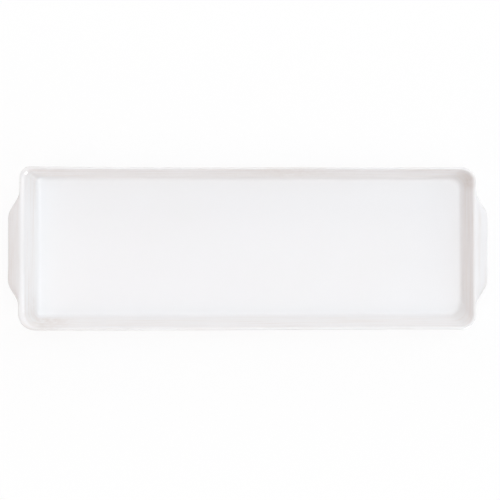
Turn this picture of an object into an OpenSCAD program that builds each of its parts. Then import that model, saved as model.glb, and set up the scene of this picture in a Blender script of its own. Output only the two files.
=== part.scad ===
// Rectangular serving tray in white glazed ceramic, in millimetres.
// A floor slab carries an upstanding wall with a rounded rim, a lug handle is luted to each end
// of the wall, and an unglazed foot ring is luted under the slab.
// +Z is up and +X runs along the tray. The origin is the centre of the plane it stands on.

/* [Body] */
// Length of the body over the rim, without the handles
body_length = 378; // [280:1:460]
// Width of the body over the rim
body_width = 135; // [126:1:260]
// Height of the rim above the table
body_height = 26; // [23:0.5:45]
// Outside corner radius of the rim, seen from above
corner_radius = 12; // [10:0.5:20]

/* [Wall] */
// Width of the rim, seen from above
rim_width = 4.4; // [4.2:0.1:8]
// Rounding of the rim's outer edge
rim_outer_radius = 0.8; // [0.5:0.1:1.2]
// Rounding of the rim's inner edge
rim_inner_radius = 3.2; // [1:0.1:5]
// Lean of the wall's outer face out from upright, in degrees
outer_lean = 8; // [2:0.5:10]
// Lean of the wall's inner face out from upright, in degrees
inner_lean = 19.5; // [10:0.5:24]
// Rounding of the outside edge under the wall
heel_radius = 6; // [2:0.5:9]

/* [Well] */
// Corner radius of the well at its mouth, seen from above
well_corner_radius = 12; // [11.5:0.5:30]
// Fillet between the wall and the floor of the well
well_fillet = 5; // [3:0.5:9]

/* [Floor] */
// Thickness of the floor slab
floor_thickness = 5; // [4:0.5:8]
// Depth of the rebate round the slab in which the wall stands
rebate_depth = 2; // [1:0.5:3]

/* [Handles] */
// How far a handle stands out beyond the rim
handle_reach = 11; // [9:0.5:18]
// Length of a handle's straight outer edge
handle_grip = 50; // [30:1:57]
// Angle between a handle's flanks and the end of the body, in degrees
handle_splay = 33; // [30:1:55]
// Rounding of a handle's outer corners, seen from above
handle_corner_radius = 16; // [6:0.5:18]
// Blend between a handle's flanks and the wall, seen from above
handle_blend_radius = 21; // [6:0.5:24]
// Thickness of clay at which that blend ends on the wall
handle_blend_end = 0.3; // [0.2:0.05:0.6]
// How far a handle's root lies below the rim
handle_drop = 1; // [1:0.1:6]
// Thickness of a handle at its root
handle_root_thickness = 10; // [7:0.5:12]
// Radius of the crown along which a handle's top falls from its root to its outer edge
handle_crown_radius = 30; // [20:1:60]
// Thickness of a handle at its outer edge
handle_edge_thickness = 6; // [4:0.5:7]
// How far the outer edge lies below the middle of the root
handle_fall = 1.2; // [0:0.1:2]

/* [Foot ring] */
// Height of the foot ring
foot_height = 3; // [2:0.5:6]
// Width of the foot ring
foot_width = 6; // [4:0.5:10]
// How far the foot ring lies inside the rim
foot_inset = 15; // [13:0.5:24]
// Outside corner radius of the foot ring
foot_corner_radius = 9; // [7:0.5:24]
// Rounding of the foot ring's lower edges
foot_edge_radius = 1; // [0.5:0.1:1.5]

/* [Hidden] */
$fn = 96;

glaze_colour = [0.95, 0.95, 0.96];
bare_clay_colour = [0.91, 0.88, 0.83];

arc_steps = 12;
overcut = 1;

half_length = body_length / 2;
half_width = body_width / 2;
slab_bottom = foot_height;
floor_top = foot_height + floor_thickness;
joint_z = floor_top - rebate_depth;
smallest_plan_radius = 0.5;

// Rim edges: the centres of the outer and the inner rounding, as offsets from the body's outline.
// The inner rounding takes no more than the outer one leaves of the rim.
inner_rounding = min(rim_inner_radius, rim_width - rim_outer_radius);
outer_rim_centre = [-rim_outer_radius, body_height - rim_outer_radius];
inner_rim_centre = [inner_rounding - rim_width, body_height - inner_rounding];

// Where the rim's roundings run out into the two leaning faces of the wall.
outer_face_top = outer_rim_centre + rim_outer_radius * [cos(outer_lean), -sin(outer_lean)];
inner_face_top = inner_rim_centre + inner_rounding * [-cos(inner_lean), sin(inner_lean)];

// A handle's root lies on the flat of the end wall, between these heights.
handle_top = body_height - handle_drop;
handle_bottom = handle_top - handle_root_thickness;

// Fillets stop where their wall or their corner gives out.
heel_flat_limit = (handle_bottom - slab_bottom) / (1 - sin(outer_lean));
heel_corner_limit = corner_radius - (body_height - slab_bottom) * tan(outer_lean) - smallest_plan_radius;
heel = min(heel_radius, heel_flat_limit, heel_corner_limit);
fillet_depth_limit = (inner_face_top.y - floor_top) / (1 - sin(inner_lean));
fillet_corner_limit = well_corner_radius - (inner_face_top.y - floor_top) * tan(inner_lean)
    - smallest_plan_radius;
fillet = min(well_fillet, fillet_depth_limit, fillet_corner_limit);

heel_centre = [
    outer_face_offset(slab_bottom + heel * (1 - sin(outer_lean))) - heel * cos(outer_lean),
    slab_bottom + heel
];
fillet_centre = [
    inner_face_offset(floor_top + fillet * (1 - sin(inner_lean))) - fillet * cos(inner_lean),
    floor_top + fillet
];
floor_offset = neat(fillet_centre.x);

// Offset of the wall's outer and inner face from the body's outline at a height.
function outer_face_offset(z) = outer_face_top.x - (outer_face_top.y - z) * tan(outer_lean);
function inner_face_offset(z) = inner_face_top.x - (inner_face_top.y - z) * tan(inner_lean);

// Sizes are kept to whole thousandths, so that stretches which share an edge meet exactly.
function neat(value) = round(value * 1000) / 1000;

function arc(centre, radius, from, to) = [
    for (i = [0:arc_steps])
        let (a = from + (to - from) * i / arc_steps)
        [neat(centre.x + radius * cos(a)), neat(centre.y + radius * sin(a))]
];

function shifted(points, dx) = [for (p = points) [p.x + dx, p.y]];

function reversed(points) = [for (i = [len(points) - 1:-1:0]) points[i]];

// How far the upright axes of rounded corners lie in from the body's outline.
body_axis = corner_radius;
well_axis = neat(well_corner_radius - inner_face_top.x);
foot_axis = foot_inset + foot_corner_radius;
foot_inner_radius = max(foot_corner_radius - foot_width, smallest_plan_radius);
foot_inner_axis = foot_inset + foot_width + foot_inner_radius;

// Outside of the body from the underside to the rim, as offsets from the body's outline.
body_section = concat(
    arc(heel_centre, heel, -90, -outer_lean),
    arc(outer_rim_centre, rim_outer_radius, -outer_lean, 90)
);

// Inside of the well from the floor to above the rim, as offsets from the body's outline.
well_section = concat(
    arc(fillet_centre, fillet, -90, -inner_lean),
    arc(inner_rim_centre, inner_rounding, 180 - inner_lean, 90),
    [[neat(inner_rim_centre.x), body_height + overcut]]
);

// A block with rounded corners, seen from above. Its sides follow a section of [offset, height]
// points, with the offsets from the body's outline, and its corners turn about axes that lie
// axis_in from that outline.
module rounded_block(axis_in, section) {
    axis_x = half_length - axis_in;
    axis_y = half_width - axis_in;
    low = section[0].y;
    high = section[len(section) - 1].y;
    flank = shifted(section, axis_in);
    profile = concat([[0, low]], flank, [[0, high]]);
    across = concat(shifted(flank, axis_y), reversed([for (p = flank) [-axis_y - p.x, p.y]]));

    rotate([90, 0, 90])
        linear_extrude(2 * axis_x, center = true)
            polygon(across);
    for (turn = [0, 180])
        rotate(turn)
            translate([axis_x, 0, 0])
                rotate([90, 0, 0])
                    linear_extrude(2 * axis_y, center = true)
                        polygon(profile);
    for (sx = [-1, 1], sy = [-1, 1])
        translate([sx * axis_x, sy * axis_y, 0])
            rotate(sx > 0 ? (sy > 0 ? 0 : -90) : (sy > 0 ? 90 : 180))
                rotate_extrude(angle = 90)
                    polygon(profile);
}

module body_block() {
    rounded_block(body_axis, body_section);
}

// The hollow that holds the food, with the rounding of the rim's inner edge.
module well() {
    rounded_block(well_axis, well_section);
}

// The raised panel of the slab, which fills the floor of the well inside the rebate.
module floor_panel() {
    rounded_block(well_axis, [[floor_offset, joint_z], [floor_offset, floor_top]]);
}

module below_joint() {
    size = body_length + body_width;
    translate([-size / 2, -size / 2, joint_z - size])
        cube(size);
}

module base_slab() {
    color(glaze_colour) {
        intersection() {
            body_block();
            below_joint();
        }
        floor_panel();
    }
}

module side_wall() {
    color(glaze_colour)
        difference() {
            body_block();
            below_joint();
            floor_panel();
            well();
        }
}

// Handle section from the top of its root round the nose to the bottom of its root, as distances
// out from the wall and heights.
root_top = [0, handle_top];
root_bottom = [0, handle_bottom];
nose_radius = handle_edge_thickness / 2;
nose_z = (handle_top + handle_bottom) / 2 - handle_fall;
handle_depth = handle_reach - outer_face_offset(nose_z);
nose_centre = [handle_depth - nose_radius, nose_z];
top_to_nose = nose_centre - root_top;
bottom_to_nose = nose_centre - root_bottom;

// Direction of the line from the bottom of the root that touches the nose from below.
underside_slope = atan2(bottom_to_nose.y, bottom_to_nose.x) - asin(nose_radius / norm(bottom_to_nose));

// The crown starts at the top of the root and runs into the nose without a break. So its centre lies
// one crown radius from the root, and that radius less the nose's own from the centre of the nose.
crown_to_nose = handle_crown_radius - nose_radius;
crown_turn = acos(
    (handle_crown_radius ^ 2 + top_to_nose * top_to_nose - crown_to_nose ^ 2)
    / (2 * handle_crown_radius * norm(top_to_nose))
);
crown_direction = atan2(top_to_nose.y, top_to_nose.x) - crown_turn;
crown_centre = root_top + handle_crown_radius * [cos(crown_direction), sin(crown_direction)];
crown_end = atan2(nose_centre.y - crown_centre.y, nose_centre.x - crown_centre.x);
crown = arc(crown_centre, handle_crown_radius, crown_direction + 180, crown_end);

handle_section = concat(
    [for (i = [0:arc_steps - 1]) crown[i]],
    arc(nose_centre, nose_radius, crown_end, underside_slope - 90),
    [root_bottom]
);

// Half of a handle's outline from above, as [distance along the wall, distance out from the wall].
flank_run = (handle_depth - (handle_corner_radius + handle_blend_radius) * (1 - cos(handle_splay)))
    / sin(handle_splay);
handle_half_root = handle_grip / 2 + flank_run * cos(handle_splay)
    + (handle_corner_radius + handle_blend_radius) * sin(handle_splay);
blend_end_angle = acos(1 - handle_blend_end / handle_blend_radius);
handle_half_outline = concat(
    [[0, handle_depth]],
    [for (p = arc([0, 0], handle_corner_radius, 0, handle_splay))
        [handle_grip / 2 + p.y, handle_depth - handle_corner_radius + p.x]],
    [for (p = arc([0, 0], handle_blend_radius, handle_splay, blend_end_angle))
        [handle_half_root - p.y, handle_blend_radius - p.x]]
);
handle_outline = concat(
    [for (p = reversed(handle_half_outline)) [-p.x, p.y]],
    [for (i = [1:len(handle_half_outline) - 1]) handle_half_outline[i]]
);

// A lug on the +X end, lofted along the wall: each station is the section with its reach scaled,
// and its root lies on the flat of the wall.
module handle() {
    stations = len(handle_outline);
    ring = len(handle_section);
    points = [
        for (station = handle_outline, p = handle_section)
            [
                neat(half_length + outer_face_offset(p.y) + p.x * station.y / handle_depth),
                neat(station.x),
                p.y
            ]
    ];
    skin = [
        for (s = [0:stations - 2], i = [0:ring - 1], upper = [true, false])
            let (
                a = s * ring + i,
                a_next = s * ring + (i + 1) % ring,
                b = a + ring,
                b_next = a_next + ring
            )
            upper ? [a, a_next, b_next] : [a, b_next, b]
    ];
    near_end = [for (i = [ring - 1:-1:0]) i];
    far_end = [for (i = [0:ring - 1]) (stations - 1) * ring + i];
    polyhedron(points, concat(skin, [near_end, far_end]));
}

module right_handle() {
    color(glaze_colour)
        handle();
}

module left_handle() {
    color(glaze_colour)
        rotate(180)
            handle();
}

module foot_ring() {
    outer = -foot_inset;
    inner = outer - foot_width;
    outer_section = concat(
        arc([outer - foot_edge_radius, foot_edge_radius], foot_edge_radius, -90, 0),
        [[outer, foot_height]]
    );
    inner_section = concat(
        [[inner + foot_edge_radius, -overcut]],
        arc([inner + foot_edge_radius, foot_edge_radius], foot_edge_radius, 270, 180),
        [[inner, foot_height + overcut]]
    );
    color(bare_clay_colour)
        difference() {
            rounded_block(foot_axis, outer_section);
            rounded_block(foot_inner_axis, inner_section);
        }
}

base_slab();
side_wall();
left_handle();
right_handle();
foot_ring();
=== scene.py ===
"""A long rectangular serving tray in white glazed ceramic, seen from straight above.

One section swept round a rounded rectangle gives the floor, the wall with its rounded rim and the two lug
handles one unbroken glazed skin. The foot ring under the floor is bare clay. All sizes are in metres.
"""

import math
from collections import namedtuple

import bmesh
import bpy
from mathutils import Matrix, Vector, noise

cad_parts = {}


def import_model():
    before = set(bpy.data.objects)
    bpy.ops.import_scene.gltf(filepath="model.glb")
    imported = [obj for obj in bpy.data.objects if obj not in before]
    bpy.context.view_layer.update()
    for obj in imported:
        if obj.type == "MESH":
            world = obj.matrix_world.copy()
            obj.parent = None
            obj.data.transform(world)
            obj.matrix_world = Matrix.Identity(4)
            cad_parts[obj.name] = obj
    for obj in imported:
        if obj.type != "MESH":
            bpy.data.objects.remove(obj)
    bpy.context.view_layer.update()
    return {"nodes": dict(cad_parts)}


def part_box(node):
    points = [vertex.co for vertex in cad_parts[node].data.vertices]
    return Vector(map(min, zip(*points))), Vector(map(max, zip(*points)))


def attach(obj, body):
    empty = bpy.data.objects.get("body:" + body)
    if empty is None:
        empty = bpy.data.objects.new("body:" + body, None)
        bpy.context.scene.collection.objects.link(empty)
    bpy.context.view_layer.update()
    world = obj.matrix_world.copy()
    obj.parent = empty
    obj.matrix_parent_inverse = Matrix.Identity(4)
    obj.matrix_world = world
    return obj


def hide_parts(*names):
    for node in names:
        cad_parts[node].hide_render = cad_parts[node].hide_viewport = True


# Body, where the frame's boxes don't give the size.
RIM_WIDTH = 0.0036
RIM_OUTER_RADIUS = 0.0009
RIM_INNER_RADIUS = 0.0027
OUTER_LEAN = math.radians(8)
INNER_LEAN = math.radians(19.5)
HEEL_RADIUS = 0.006
WELL_FILLET = 0.0038

# The corners by the signs of x and y, and in the same order the radii of the ware's and the well floor's.
BACK_RIGHT = (1, 1)
BACK_LEFT = (-1, 1)
FRONT_LEFT = (-1, -1)
FRONT_RIGHT = (1, -1)
CORNERS = (BACK_RIGHT, BACK_LEFT, FRONT_LEFT, FRONT_RIGHT)
CORNER_RADII = (0.013, 0.0095, 0.015, 0.0125)
FLOOR_RADII = (0.009, 0.005, 0.005, 0.014)

# The well's mouth is drawn in at the ends and out at the long sides. Its middle and that of the floor lie
# a little off the rim's.
MOUTH_SPREAD = Vector((-0.0006, 0.0005, 0))
MOUTH_DRIFT = Vector((0.0006, 0, 0))
FLOOR_DRIFT = Vector((0.0015, 0.00155, 0))

# Handles.
HANDLE_GRIP = 0.050
HANDLE_SPLAY = math.radians(33)
HANDLE_CORNER_RADIUS = 0.016
HANDLE_BLEND_RADIUS = 0.021
HANDLE_EDGE_THICKNESS = 0.006
HANDLE_FALL = 0.0012
HANDLE_CROWN_RADIUS = 0.030
HANDLE_ROOT_RISE = 0.0009
HANDLE_UNDER_FILLET = 0.003

# How finely the skin is drawn, and the angle from which its edges look sharp.
END_STEPS = 112
SIDE_STEPS = 56
CORNER_STEPS = 16
RIM_STEPS = 14
FILLET_STEPS = 20
HEEL_STEPS = 16
CROWN_STEPS = 16
NOSE_STEPS = 16
FACE_STEPS = 6
SHARP_ANGLE = math.radians(35)

# Firing leaves the ware a little uneven. The front of the rim and both sides of the floor close in to the
# right. Outside, the front left corner is drawn out to the left and the back left corner to the back.
END_TAPER = 0.0075
FRONT_CORNER_FLARE = 0.0018
BACK_CORNER_FLARE = 0.00115
BACK_FLARE_POWER = 5
WARP_SEED = 4
WARP_WAVELENGTH = 0.12
WARP_SIDEWAYS = 0.0003
WARP_UPWARDS = 0.00015

# How deep a handle's root face lies under the wall's outer face. Behind it the wall is sunk twice as deep.
JOINT_RECESS = 0.001

# Camera, for a picture of 500 x 500 pixels. The rim's scale is in pixels per metre.
LENS_MM = 55.0
SENSOR_MM = 36.0
FRAME_PIXELS = 500
RIM_SCALE = 1207.3
TRAY_CENTRE_PIXEL = (247.9, 248.6)

# A closed line round the tray: its corner radii, how far out from the body's outline it lies, its height,
# and how much it has of the shape of the well's mouth and of the well's floor.
Loop = namedtuple("Loop", "radii offset z mouth floor")

# Spots painted darker brown: in the back right corner as painted shade, and near both left corners and
# along the middle of the back wall. A spot's middle is inset from a corner. It is strongest in its core
# and ends at its reach.
DarkSpot = namedtuple("DarkSpot", "corner inset reach strength")
DARK_SPOT_CORE = 0.001
SHADE_AND_DARK_SPOTS = (
    DarkSpot(BACK_RIGHT, Vector((0.006, 0.0105, 0.006)), reach=0.011, strength=0.36),
    DarkSpot(FRONT_LEFT, Vector((0.020, 0.0085, 0.012)), reach=0.028, strength=0.29),
    DarkSpot(BACK_LEFT, Vector((0.020, 0.0085, 0.012)), reach=0.030, strength=0.12),
    DarkSpot(BACK_RIGHT, Vector((0.160, 0.0085, 0.010)), reach=0.085, strength=0.12),
)

# Lamps that face the tray's middle, with their angles in degrees and their sizes in metres: a soft one
# overhead, and soft ones all round that the glaze doesn't mirror.
Lamp = namedtuple("Lamp", "name azimuth elevation distance width height watts colour")
OVERHEAD = Lamp("overhead", 0, 90, 2.2, 2.4, 2.4, 21.9, (0.893, 0.955, 1.0))
SIDE_LAMPS = (
    Lamp("back_high", 90, 60, 2.0, 1.6, 1.6, 5.4, (0.88, 0.95, 1.0)),
    Lamp("back_low", 90, 14, 2.0, 1.6, 1.0, 10.6, (1.0, 0.91, 0.84)),
    Lamp("back_right", 45, 32, 2.0, 1.6, 1.6, 11.2, (0.90, 0.945, 1.0)),
    Lamp("right_low", 0, 14, 2.0, 1.6, 1.0, 7.0, (1.0, 0.89, 0.84)),
    Lamp("front_right", -45, 32, 2.0, 1.6, 1.6, 11.5, (0.97, 0.985, 1.0)),
    Lamp("front_high", -90, 60, 2.0, 1.6, 1.6, 2.4, (1.0, 0.92, 0.90)),
    Lamp("front_left", -135, 32, 2.0, 1.6, 1.6, 13.1, (1.0, 0.845, 0.78)),
    Lamp("back_left", 135, 32, 2.0, 1.6, 1.6, 7.5, (1.0, 0.865, 0.82)),
)

# Lamps that only show in the glaze: as light lines along the well's fillet and as sparks in a corner.
WHITE_LIGHT = (1.0, 1.0, 1.0)
GLINTS = (
    Lamp("back_line", 90, 56, 2.0, 1.8, 0.9, 11.0, WHITE_LIGHT),
    Lamp("front_line", -90, 56, 2.0, 1.8, 0.9, 11.0, WHITE_LIGHT),
    Lamp("right_line_back", 20, 56, 2.0, 0.5, 0.9, 5.5, WHITE_LIGHT),
    Lamp("right_line_front", -20, 56, 2.0, 0.5, 0.9, 5.5, WHITE_LIGHT),
    Lamp("spark", -46, 34, 1.7, 0.5, 0.5, 52.0, WHITE_LIGHT),
)


def arc(centre, radius, start, end, steps):
    """Points of an arc, from a start to an end angle in radians, as (offset, height) pairs."""
    return [
        (
            centre[0] + radius * math.cos(start + (end - start) * i / steps),
            centre[1] + radius * math.sin(start + (end - start) * i / steps),
        )
        for i in range(steps + 1)
    ]


def between(first, last, steps):
    """Points strictly between two (offset, height) points."""
    return [
        (
            first[0] + (last[0] - first[0]) * i / steps,
            first[1] + (last[1] - first[1]) * i / steps,
        )
        for i in range(1, steps)
    ]


class Tray:
    """The tray's section and outline, worked out from the frame's boxes and the sizes above."""

    def __init__(self):
        wall_low, wall_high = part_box("side_wall")
        slab_low, slab_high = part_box("base_slab")
        handle_low, handle_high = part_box("right_handle")
        self.half_length, self.half_width, self.rim_top = wall_high
        self.joint_z = wall_low.z
        self.slab_bottom = slab_low.z
        self.floor_top = slab_high.z
        self.handle_reach = handle_high.x - self.half_length
        self.handle_bottom, self.handle_top = handle_low.z, handle_high.z

        self.outer_rim = (-RIM_OUTER_RADIUS, self.rim_top - RIM_OUTER_RADIUS)
        self.inner_rim = (RIM_INNER_RADIUS - RIM_WIDTH, self.rim_top - RIM_INNER_RADIUS)
        self.outer_face_top = (
            self.outer_rim[0] + RIM_OUTER_RADIUS * math.cos(OUTER_LEAN),
            self.outer_rim[1] - RIM_OUTER_RADIUS * math.sin(OUTER_LEAN),
        )
        self.inner_face_top = (
            self.inner_rim[0] - RIM_INNER_RADIUS * math.cos(INNER_LEAN),
            self.inner_rim[1] + RIM_INNER_RADIUS * math.sin(INNER_LEAN),
        )

        # The heel rounds off the foot of the wall outside, and the fillet joins wall and floor inside.
        heel_z = self.slab_bottom + HEEL_RADIUS * (1 - math.sin(OUTER_LEAN))
        fillet_z = self.floor_top + WELL_FILLET * (1 - math.sin(INNER_LEAN))
        self.heel = (
            self.outer_face(heel_z) - HEEL_RADIUS * math.cos(OUTER_LEAN),
            self.slab_bottom + HEEL_RADIUS,
        )
        self.joint_angle = math.asin((self.joint_z - self.heel[1]) / HEEL_RADIUS)
        self.fillet = (
            self.inner_face(fillet_z) - WELL_FILLET * math.cos(INNER_LEAN),
            self.floor_top + WELL_FILLET,
        )

        nose_z = (self.handle_top + self.handle_bottom) / 2 - HANDLE_FALL
        self.handle_depth = self.handle_reach - self.outer_face(nose_z)
        turn = HANDLE_CORNER_RADIUS + HANDLE_BLEND_RADIUS
        flank = (self.handle_depth - turn * (1 - math.cos(HANDLE_SPLAY))) / math.sin(HANDLE_SPLAY)
        self.handle_half_root = (
            HANDLE_GRIP / 2 + flank * math.cos(HANDLE_SPLAY) + turn * math.sin(HANDLE_SPLAY)
        )
        self.handle_section = self.make_handle_section(nose_z)

    def inside_corner(self, corner, inset):
        """A place in from the two sides that meet in one of the corners, and down from the rim."""
        return Vector(
            (
                corner[0] * (self.half_length - inset.x),
                corner[1] * (self.half_width - inset.y),
                self.rim_top - inset.z,
            )
        )

    def flat_face(self, z):
        """Offset of the flat of the wall's outside, drawn on past the rim, from the body's outline."""
        return self.outer_face_top[0] - (self.outer_face_top[1] - z) * math.tan(OUTER_LEAN)

    def outer_face(self, z):
        """Offset of the outside of the wall and its rim from the body's outline at a height."""
        if z < self.outer_face_top[1]:
            return self.flat_face(z)
        return self.outer_rim[0] + math.sqrt(RIM_OUTER_RADIUS**2 - (z - self.outer_rim[1]) ** 2)

    def inner_face(self, z):
        """Offset of the wall's inner face from the body's outline at a height."""
        return self.inner_face_top[0] - (self.inner_face_top[1] - z) * math.tan(INNER_LEAN)

    def make_handle_section(self, nose_z):
        """A handle's skin from the rim round its nose to the wall, as (distance out, height) points.

        A crown falls from the rim into the round nose, and a fillet joins the underside to the wall.
        """
        half_turn, quarter_turn = math.pi, math.pi / 2
        radius = HANDLE_EDGE_THICKNESS / 2
        nose = (self.handle_depth - radius, nose_z)

        root_z = self.handle_top + HANDLE_ROOT_RISE
        root = (self.outer_face(root_z) - self.flat_face(root_z), root_z)
        run, rise = nose[0] - root[0], nose[1] - root[1]
        span, crown_to_nose = math.hypot(run, rise), HANDLE_CROWN_RADIUS - radius
        turn = math.acos(
            (HANDLE_CROWN_RADIUS**2 + span**2 - crown_to_nose**2) / (2 * HANDLE_CROWN_RADIUS * span)
        )
        direction = math.atan2(rise, run) - turn
        crown_centre = (
            root[0] + HANDLE_CROWN_RADIUS * math.cos(direction),
            root[1] + HANDLE_CROWN_RADIUS * math.sin(direction),
        )
        crown_end = math.atan2(nose[1] - crown_centre[1], nose[0] - crown_centre[0])
        crown = arc(crown_centre, HANDLE_CROWN_RADIUS, direction + half_turn, crown_end, CROWN_STEPS)

        run, rise = nose[0], nose_z - self.handle_bottom
        below = math.atan2(rise, run) - math.asin(radius / math.hypot(run, rise))
        under_fillet = (
            HANDLE_UNDER_FILLET,
            self.handle_bottom - HANDLE_UNDER_FILLET * (1 - math.sin(below)) / math.cos(below),
        )
        round_nose = arc(nose, radius, crown_end, below - quarter_turn, NOSE_STEPS)
        root_below = arc(
            under_fillet, HANDLE_UNDER_FILLET, below + quarter_turn, half_turn, FACE_STEPS
        )
        points = (
            crown[:-1]
            + round_nose
            + between(round_nose[-1], root_below[0], FACE_STEPS)
            + root_below
        )
        return [(out + self.flat_face(z) - self.outer_face(z), z) for out, z in points]

    def handle_share(self, y):
        """How much of its full depth a handle has at a distance along the end wall."""
        along = abs(y)
        half_grip = HANDLE_GRIP / 2
        if along <= half_grip:
            return 1.0
        if along >= self.handle_half_root:
            return 0.0
        corner_end = half_grip + HANDLE_CORNER_RADIUS * math.sin(HANDLE_SPLAY)
        blend_start = self.handle_half_root - HANDLE_BLEND_RADIUS * math.sin(HANDLE_SPLAY)
        if along < corner_end:
            run = along - half_grip
            rise = HANDLE_CORNER_RADIUS - math.sqrt(HANDLE_CORNER_RADIUS**2 - run**2)
            depth = self.handle_depth - rise
        elif along > blend_start:
            run = self.handle_half_root - along
            depth = HANDLE_BLEND_RADIUS - math.sqrt(HANDLE_BLEND_RADIUS**2 - run**2)
        else:
            rise = HANDLE_CORNER_RADIUS * (1 - math.cos(HANDLE_SPLAY))
            depth = self.handle_depth - rise - (along - corner_end) * math.tan(HANDLE_SPLAY)
        return depth / self.handle_depth

    def body_loops(self, points):
        """Loops whose corners turn about the same axes as the rim's."""
        return [
            Loop([radius + offset for radius in CORNER_RADII], offset, z, mouth=0.0, floor=0.0)
            for offset, z in points
        ]

    def rim_loops(self, points):
        """Loops over the rim, whose inner side takes on the shape of the well's mouth."""
        top, mouth = self.inner_rim[0], self.inner_face_top[0]
        return [
            loop._replace(mouth=max(0.0, (loop.offset - top) / (mouth - top)))
            for loop in self.body_loops(points)
        ]

    def well_loops(self, points):
        """Loops that change from the mouth's shape at the rim's inner edge to the floor's."""
        mouth, mouth_z = self.inner_face_top
        loops = []
        for offset, z in points:
            up = max(0.0, (z - self.floor_top) / (mouth_z - self.floor_top))
            radii = [
                (radius + mouth) * up + floor_radius * (1.0 - up)
                for radius, floor_radius in zip(CORNER_RADII, FLOOR_RADII)
            ]
            loops.append(Loop(radii, offset, z, mouth=up, floor=1.0 - up))
        return loops

    def outline(self, loop):
        """The points of one closed line round the tray, from the front of the right end anticlockwise."""
        x = self.half_length + loop.offset + MOUTH_SPREAD.x * loop.mouth
        y = self.half_width + loop.offset + MOUTH_SPREAD.y * loop.mouth
        drift = MOUTH_DRIFT * loop.mouth + FLOOR_DRIFT * loop.floor
        turns = []
        for quarter, ((sign_x, sign_y), radius) in enumerate(zip(CORNERS, loop.radii)):
            centre = Vector((sign_x * (x - radius), sign_y * (y - radius), loop.z))
            angles = [math.pi / 2 * (quarter + i / CORNER_STEPS) for i in range(CORNER_STEPS + 1)]
            turns.append([centre + radius * Vector((math.cos(a), math.sin(a), 0)) for a in angles])

        points = []
        for quarter, turn in enumerate(turns):
            start, steps = turns[quarter - 1][-1], SIDE_STEPS if quarter % 2 else END_STEPS
            points += [start.lerp(turn[0], i / steps) for i in range(steps)]
            points += turn[:-1]
        outside = 1.0 - loop.mouth - loop.floor
        return [self.flared(self.tapered(point, loop.floor), outside) + drift for point in points]

    def tapered(self, point, back_share):
        """A point moved by the taper from end to end: by all of it at the front and by a share behind."""
        share = 1.0 if point.y < 0 else back_share
        return point - Vector((0, END_TAPER * share * point.y * point.x / self.half_length, 0))

    def flared(self, point, share):
        """A point drawn out, by a share of the flare, where it lies near one of the left corners."""
        left = max(0.0, -point.x / self.half_length)
        if point.y < 0:
            out = FRONT_CORNER_FLARE * share * left * (point.y / self.half_width) ** 2
            return point - Vector((out, 0, 0))
        out = BACK_CORNER_FLARE * share * left**BACK_FLARE_POWER * point.y / self.half_width
        return point + Vector((0, out, 0))

    def uneven(self, point):
        """A point moved as firing has warped the ware. The underside stays level, so it sits flat."""
        wave = noise.noise_vector(point / WARP_WAVELENGTH)
        lift = min(1.0, (point.z - self.slab_bottom) / (self.floor_top - self.slab_bottom))
        return point + Vector(
            (wave.x * WARP_SIDEWAYS, wave.y * WARP_SIDEWAYS, wave.z * WARP_UPWARDS * lift)
        )


def joined(name, vertices, faces, tray):
    """A closed, smooth mesh object from points and faces, with the unevenness of the ware."""
    mesh = bpy.data.meshes.new(name)
    mesh.from_pydata([tray.uneven(v) for v in vertices], [], faces)
    work = bmesh.new()
    work.from_mesh(mesh)
    bmesh.ops.recalc_face_normals(work, faces=work.faces)
    work.to_mesh(mesh)
    work.free()
    mesh.polygons.foreach_set("use_smooth", [True] * len(mesh.polygons))
    mesh.set_sharp_from_angle(angle=SHARP_ANGLE)
    piece = bpy.data.objects.new(name, mesh)
    bpy.context.scene.collection.objects.link(piece)
    return piece


def strip_faces(rows, columns, close_rows):
    """Quads between neighbouring closed rows of points, stored row after row."""
    faces = []
    for row in range(rows if close_rows else rows - 1):
        following = (row + 1) % rows
        for column in range(columns):
            after = (column + 1) % columns
            faces.append(
                (
                    row * columns + column,
                    row * columns + after,
                    following * columns + after,
                    following * columns + column,
                )
            )
    return faces


def fill_loop(vertices, faces, first):
    """Fills a closed row of points with a net of quads, its corners at the middle of the four turns."""
    end, side = END_STEPS + CORNER_STEPS, SIDE_STEPS + CORNER_STEPS
    total = 2 * (end + side)
    start = total - CORNER_STEPS // 2

    def ring(i):
        return first + (start + i) % total

    right = [ring(i) for i in range(end + 1)]
    back = [ring(end + side - i) for i in range(side + 1)]
    left = [ring(2 * end + side - i) for i in range(end + 1)]
    front = [ring(2 * end + side + i) for i in range(side + 1)]
    net = [[None] * (side + 1) for _ in range(end + 1)]
    for i in range(end + 1):
        for j in range(side + 1):
            if i == 0:
                net[i][j] = front[j]
            elif i == end:
                net[i][j] = back[j]
            elif j == 0:
                net[i][j] = left[i]
            elif j == side:
                net[i][j] = right[i]
            else:
                u, v = i / end, j / side
                edges = (
                    vertices[left[i]].lerp(vertices[right[i]], v)
                    + vertices[front[j]].lerp(vertices[back[j]], u)
                )
                near = vertices[front[0]].lerp(vertices[front[-1]], v)
                far = vertices[back[0]].lerp(vertices[back[-1]], v)
                net[i][j] = len(vertices)
                vertices.append(edges - near.lerp(far, u))
    for i in range(end):
        for j in range(side):
            faces.append((net[i][j], net[i][j + 1], net[i + 1][j + 1], net[i + 1][j]))


def make_floor(tray):
    """The floor slab: its serving face, the rebate under the wall, its rounded heel and its underside."""
    heel = arc(tray.heel, HEEL_RADIUS, tray.joint_angle, -math.pi / 2, HEEL_STEPS)
    toe = tray.fillet[0]
    loops = tray.well_loops([(toe, tray.floor_top), (toe, tray.joint_z)]) + tray.body_loops(heel)
    rows = [tray.outline(loop) for loop in loops]
    columns = len(rows[0])
    vertices = [point for row in rows for point in row]
    faces = strip_faces(len(rows), columns, close_rows=False)
    fill_loop(vertices, faces, 0)
    fill_loop(vertices, faces, (len(rows) - 1) * columns)
    return joined("tray_floor", vertices, faces, tray)


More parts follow.
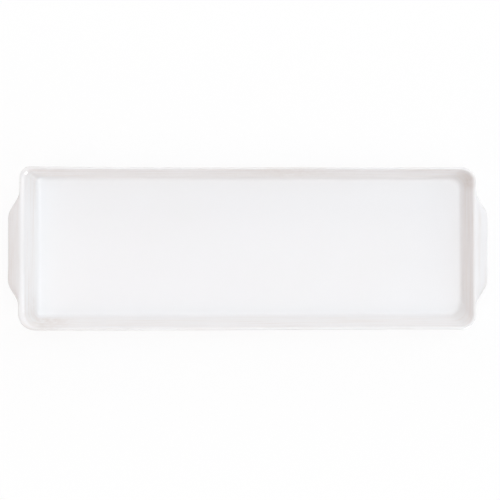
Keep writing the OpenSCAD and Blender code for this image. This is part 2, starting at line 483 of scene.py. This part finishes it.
def make_wall_and_handles(tray):
    """The wall with its rim, and the two handles that grow out of its ends in the same skin."""
    quarter_turn = math.pi / 2
    heel = arc(tray.heel, HEEL_RADIUS, tray.joint_angle, -OUTER_LEAN, HEEL_STEPS)
    heights = [z for _, z in reversed(tray.handle_section)]
    reaches = [reach for reach, _ in reversed(tray.handle_section)]
    face = [(tray.outer_face(z), z) for z in heights]
    rim_start = math.asin((heights[-1] - tray.outer_rim[1]) / RIM_OUTER_RADIUS)
    rim_outside = arc(tray.outer_rim, RIM_OUTER_RADIUS, rim_start, quarter_turn, RIM_STEPS)
    rim_inside = arc(tray.inner_rim, RIM_INNER_RADIUS, quarter_turn, math.pi - INNER_LEAN, RIM_STEPS)
    fillet = arc(tray.fillet, WELL_FILLET, -INNER_LEAN, -quarter_turn, FILLET_STEPS)
    toe = tray.fillet[0]

    outer_loops = tray.body_loops(heel + between(heel[-1], face[0], FACE_STEPS) + face)
    outer_loops += tray.rim_loops(rim_outside[1:] + rim_inside)
    inner_loops = tray.well_loops(
        between(rim_inside[-1], fillet[0], FACE_STEPS) + fillet + [(toe, tray.joint_z)]
    )
    first_level = len(heel) + FACE_STEPS - 1
    levels = range(first_level, first_level + len(face))
    rows = [tray.outline(loop) for loop in outer_loops + inner_loops]
    columns = len(rows[0])
    faces = strip_faces(len(rows), columns, close_rows=True)

    handles = []
    for name, side, first_column in (
        ("right_handle_glazed", 1, 0),
        ("left_handle_glazed", -1, END_STEPS + SIDE_STEPS + 2 * CORNER_STEPS),
    ):
        lowest = rows[levels[0]]
        stations = [
            column
            for column in range(first_column, first_column + END_STEPS)
            if tray.handle_share(lowest[column].y) > 0
        ]
        stations = [stations[0] - 1] + stations + [stations[-1] + 1]
        out = Vector((side, 0, 0))
        front, back = [], []
        for level, reach in zip(levels, reaches):
            for column in stations:
                point = rows[level][column]
                share = tray.handle_share(point.y)
                front.append(point + out * reach * share)
                on_edge = level in (levels[0], levels[-1]) or column in (stations[0], stations[-1])
                back.append(None if on_edge else point - out * JOINT_RECESS)
        handles.append(make_handle(name, front, back, len(levels), len(stations), tray))
        for level in levels[1:-1]:
            for column in stations[1:-1]:
                rows[level][column] = rows[level][column] - out * 2 * JOINT_RECESS

    wall = joined("tray_wall", [point for row in rows for point in row], faces, tray)
    return wall, handles


def make_handle(name, front, back, rows, columns, tray):
    """One handle: its glazed skin, closed by a root face that lies in the wall's recess."""
    vertices = list(front)
    behind = []
    for index, point in enumerate(back):
        if point is None:
            behind.append(index)
        else:
            behind.append(len(vertices))
            vertices.append(point)
    faces = []
    for row in range(rows - 1):
        for column in range(columns - 1):
            a = row * columns + column
            quad = (a, a + 1, a + columns + 1, a + columns)
            faces.append(quad)
            faces.append(tuple(behind[i] for i in reversed(quad)))
    return joined(name, vertices, faces, tray)


class Shader:
    """A material's nodes, added one at a time."""

    def __init__(self, name):
        self.material = bpy.data.materials.new(name)
        self.material.use_nodes = True
        self.tree = self.material.node_tree
        self.surface = self.tree.nodes["Principled BSDF"]
        self.output = self.tree.nodes["Material Output"]

    def add(self, kind, inputs=None, **settings):
        """A new node, with values or other nodes' outputs for some of its inputs."""
        node = self.tree.nodes.new(kind)
        for key, value in settings.items():
            setattr(node, key, value)
        for key, value in (inputs or {}).items():
            self.feed(node.inputs[key], value)
        return node

    def feed(self, socket, value):
        """Gives an input a fixed value or another node's output."""
        if isinstance(value, bpy.types.NodeSocket):
            self.tree.links.new(value, socket)
        else:
            socket.default_value = value

    def place(self):
        """Where a point of the surface lies, in the piece's own frame."""
        return self.add("ShaderNodeTexCoord").outputs["Object"]

    def height(self, place):
        """How high a place lies."""
        return self.add("ShaderNodeSeparateXYZ", {"Vector": place}).outputs["Z"]

    def noise(self, place, scale, detail=2.0, roughness=0.5):
        """Soft noise between nought and one."""
        inputs = {"Vector": place, "Scale": scale, "Detail": detail, "Roughness": roughness}
        return self.add("ShaderNodeTexNoise", inputs).outputs["Fac"]

    def ranged(self, value, source, target):
        """A value carried over from one range to another and held within that."""
        inputs = {
            "Value": value,
            "From Min": source[0],
            "From Max": source[1],
            "To Min": target[0],
            "To Max": target[1],
        }
        return self.add("ShaderNodeMapRange", inputs).outputs["Result"]

    def vector(self, operation, first, second=None):
        """The outputs of one step of vector arithmetic."""
        inputs = {0: first} if second is None else {0: first, 1: second}
        return self.add("ShaderNodeVectorMath", inputs, operation=operation).outputs

    def times(self, first, second):
        """Two values multiplied."""
        return self.add("ShaderNodeMath", {0: first, 1: second}, operation="MULTIPLY").outputs["Value"]

    def mixed(self, factor, first, second):
        """A colour between two others."""
        node = self.add("ShaderNodeMix", data_type="RGBA")
        self.feed(node.inputs["Factor"], factor)
        self.feed(node.inputs["A"], first)
        self.feed(node.inputs["B"], second)
        return node.outputs["Result"]

    def bump(self, height, distance, strength, under=None):
        """The way the surface faces once a height tilts it, if need be on top of another bump."""
        inputs = {"Height": height, "Distance": distance, "Strength": strength}
        if under is not None:
            inputs["Normal"] = under
        return self.add("ShaderNodeBump", inputs).outputs["Normal"]


def glaze_material(tray):
    """Glossy white glaze: a little uneven, with fine orange peel and a rare iron speck.

    On the walls and handles it lets the clay show through in faint level lines, where it ran as it was
    poured. A few spots are painted darker brown, and the one in the back right corner is painted shade.
    """
    shader = Shader("white_glaze")
    place = shader.place()
    white, cream, speck = (0.86, 0.86, 0.865, 1), (0.83, 0.82, 0.80, 1), (0.42, 0.36, 0.30, 1)
    thin, spot_brown = (0.74, 0.67, 0.62, 1), (0.50, 0.38, 0.30, 1)
    thins_from, thins_to = 0.0015, 0.005
    level_stretch = (16, 16, 620)

    clouds = shader.ranged(shader.noise(place, scale=14, detail=3), (0.45, 0.75), (0.0, 0.18))
    colour = shader.mixed(clouds, white, cream)
    thinning = (tray.floor_top + thins_from, tray.floor_top + thins_to)
    raised = shader.ranged(shader.height(place), thinning, (0.0, 1.0))
    level = shader.vector("MULTIPLY", place, level_stretch)["Vector"]
    streaks = shader.noise(level, scale=1.0, detail=3, roughness=0.6)
    poured = shader.ranged(streaks, (0.48, 0.75), (0.0, 0.38))
    colour = shader.mixed(shader.times(raised, poured), colour, thin)
    patches = shader.ranged(shader.noise(place, scale=220, detail=2), (0.3, 0.6), (0.3, 1.0))
    patchy = shader.times(raised, patches)
    # Darker brown spots on the walls. The one in the back right corner is painted shade.
    for spot in SHADE_AND_DARK_SPOTS:
        middle = tray.inside_corner(spot.corner, spot.inset)
        away = shader.vector("DISTANCE", place, middle)["Value"]
        darkened = shader.ranged(away, (DARK_SPOT_CORE, spot.reach), (spot.strength, 0.0))
        colour = shader.mixed(shader.times(darkened, patchy), colour, spot_brown)
    cells = shader.add("ShaderNodeTexVoronoi", {"Vector": place, "Scale": 38.0})
    near = shader.ranged(cells.outputs["Distance"], (0.006, 0.014), (1.0, 0.0))
    chosen = shader.add("ShaderNodeSeparateColor", {"Color": cells.outputs["Color"]})
    rare = shader.ranged(chosen.outputs["Red"], (0.90, 0.92), (0.0, 0.6))
    colour = shader.mixed(shader.times(near, rare), colour, speck)
    shader.feed(shader.surface.inputs["Base Color"], colour)

    smears = shader.ranged(shader.noise(place, scale=60, detail=4), (0.35, 0.7), (0.07, 0.13))
    shader.feed(shader.surface.inputs["Roughness"], smears)
    swell = shader.bump(shader.noise(place, scale=45, detail=1), distance=0.0006, strength=0.22)
    orange_peel = shader.noise(place, scale=700, detail=2)
    peel = shader.bump(orange_peel, distance=0.00004, strength=0.25, under=swell)
    shader.feed(shader.surface.inputs["Normal"], peel)
    shader.feed(shader.surface.inputs["IOR"], 1.5)
    return shader.material


def bare_clay_material():
    """Unglazed fired clay: matte, sandy to the touch and rubbed a little grey where it stands."""
    shader = Shader("bare_clay")
    place = shader.place()
    clay, sand, rubbed = (0.74, 0.68, 0.59, 1), (0.60, 0.53, 0.44, 1), (0.50, 0.48, 0.46, 1)
    rubbed_height = 0.0008

    grain = shader.noise(place, scale=1600, detail=3, roughness=0.7)
    colour = shader.mixed(shader.ranged(grain, (0.5, 0.75), (0.0, 0.7)), clay, sand)
    low = shader.ranged(shader.height(place), (0.0, rubbed_height), (0.5, 0.0))
    scuffs = shader.ranged(shader.noise(place, scale=90, detail=4), (0.45, 0.65), (0.0, 1.0))
    colour = shader.mixed(shader.times(low, scuffs), colour, rubbed)
    shader.feed(shader.surface.inputs["Base Color"], colour)
    shader.feed(shader.surface.inputs["Roughness"], shader.ranged(grain, (0.3, 0.7), (0.72, 0.88)))
    shader.feed(shader.surface.inputs["Normal"], shader.bump(grain, distance=0.0002, strength=0.5))
    return shader.material


def seen_directly(tree):
    """One where a ray comes from the camera, a reflection or a clear body, and nought for plain light."""
    path = tree.nodes.new("ShaderNodeLightPath")
    total = path.outputs["Is Camera Ray"]
    for name in ("Is Glossy Ray", "Is Transmission Ray"):
        most = tree.nodes.new("ShaderNodeMath")
        most.operation = "MAXIMUM"
        tree.links.new(total, most.inputs[0])
        tree.links.new(path.outputs[name], most.inputs[1])
        total = most.outputs["Value"]
    return total


def make_table(tray):
    """A plain white table top that keeps the tray's shadow and runs out, ever whiter, to the horizon."""
    reach, drop = 6.0, 0.0001
    fade, glow_at_tray = 0.2, 0.85
    white = (0.95, 0.95, 0.95, 1)
    mesh = bpy.data.meshes.new("table_top")
    corners = [(-reach, -reach), (reach, -reach), (reach, reach), (-reach, reach)]
    mesh.from_pydata([(x, y, -drop) for x, y in corners], [], [(0, 1, 2, 3)])
    plane = bpy.data.objects.new("table_top", mesh)
    bpy.context.scene.collection.objects.link(plane)

    shader = Shader("white_table")
    tree = shader.tree
    tree.nodes.remove(shader.surface)
    plain = shader.add("ShaderNodeBsdfDiffuse", {"Color": white}).outputs["BSDF"]
    glow = shader.add("ShaderNodeEmission", {"Strength": 1.0}).outputs["Emission"]
    aside = shader.vector("ABSOLUTE", shader.place())["Vector"]
    aside = shader.vector("SUBTRACT", aside, (tray.half_length, tray.half_width, 0))["Vector"]
    aside = shader.vector("MAXIMUM", aside, (0, 0, 0))["Vector"]
    away = shader.vector("LENGTH", aside)["Value"]
    glow_share = shader.ranged(away, (0.0, fade), (glow_at_tray, 1.0))
    bright = shader.add("ShaderNodeMixShader", {0: glow_share, 1: plain, 2: glow}).outputs["Shader"]
    shown = shader.add("ShaderNodeMixShader", {0: seen_directly(tree), 1: plain, 2: bright})
    tree.links.new(shown.outputs["Shader"], shader.output.inputs["Surface"])
    plane.data.materials.append(shader.material)


def make_world():
    """White where it is seen, and a dim even light on the object."""
    seen, ambient = 1.0, 0.01
    world = bpy.data.worlds.new("studio")
    bpy.context.scene.world = world
    world.use_nodes = True
    tree = world.node_tree
    background = tree.nodes["Background"]
    strength = tree.nodes.new("ShaderNodeMapRange")
    strength.inputs["To Min"].default_value = ambient
    strength.inputs["To Max"].default_value = seen
    tree.links.new(seen_directly(tree), strength.inputs["Value"])
    tree.links.new(strength.outputs["Result"], background.inputs["Strength"])
    background.inputs["Color"].default_value = (1, 1, 1, 1)


def make_lamp(lamp):
    """An area lamp that faces the middle of the tray."""
    light = bpy.data.lights.new(lamp.name, "AREA")
    light.shape = "RECTANGLE"
    light.size, light.size_y = lamp.width, lamp.height
    light.energy = lamp.watts
    light.color = lamp.colour
    azimuth, elevation = math.radians(lamp.azimuth), math.radians(lamp.elevation)
    towards = Vector(
        (
            math.cos(azimuth) * math.cos(elevation),
            math.sin(azimuth) * math.cos(elevation),
            math.sin(elevation),
        )
    )
    stand = bpy.data.objects.new(lamp.name, light)
    stand.location = towards * lamp.distance
    stand.rotation_euler = (-towards).to_track_quat("-Z", "Y").to_euler()
    bpy.context.scene.collection.objects.link(stand)
    return stand


def make_lamps():
    """All the lamps. The side lamps stay out of reflections, and the glints show only there."""
    make_lamp(OVERHEAD)
    for lamp in SIDE_LAMPS:
        make_lamp(lamp).visible_glossy = False
    for lamp in GLINTS:
        make_lamp(lamp).visible_diffuse = False


def make_camera(tray):
    """A camera straight above the tray, at the height that gives the rim its size in the photograph."""
    pixels_per_radian = LENS_MM / SENSOR_MM * FRAME_PIXELS
    height = tray.outer_rim[1] + pixels_per_radian / RIM_SCALE
    shift_right = (FRAME_PIXELS / 2 - TRAY_CENTRE_PIXEL[0]) / RIM_SCALE
    shift_back = (TRAY_CENTRE_PIXEL[1] - FRAME_PIXELS / 2) / RIM_SCALE
    data = bpy.data.cameras.new("camera")
    data.lens = LENS_MM
    data.sensor_width = SENSOR_MM
    camera = bpy.data.objects.new("camera", data)
    camera.location = (shift_right, shift_back, height)
    bpy.context.scene.collection.objects.link(camera)
    bpy.context.scene.camera = camera


def main():
    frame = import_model()
    noise.seed_set(WARP_SEED)
    tray = Tray()

    make_camera(tray)
    make_lamps()
    make_world()
    make_table(tray)
    bpy.context.scene.view_settings.view_transform = "Standard"

    glaze = glaze_material(tray)
    wall, (right_handle, left_handle) = make_wall_and_handles(tray)
    for piece, node in (
        (make_floor(tray), "base_slab"),
        (wall, "side_wall"),
        (left_handle, "left_handle"),
        (right_handle, "right_handle"),
    ):
        piece.data.materials.append(glaze)
        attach(piece, "root")
        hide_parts(node)
    foot = frame["nodes"]["foot_ring"]
    foot.data.materials.clear()
    foot.data.materials.append(bare_clay_material())


main()
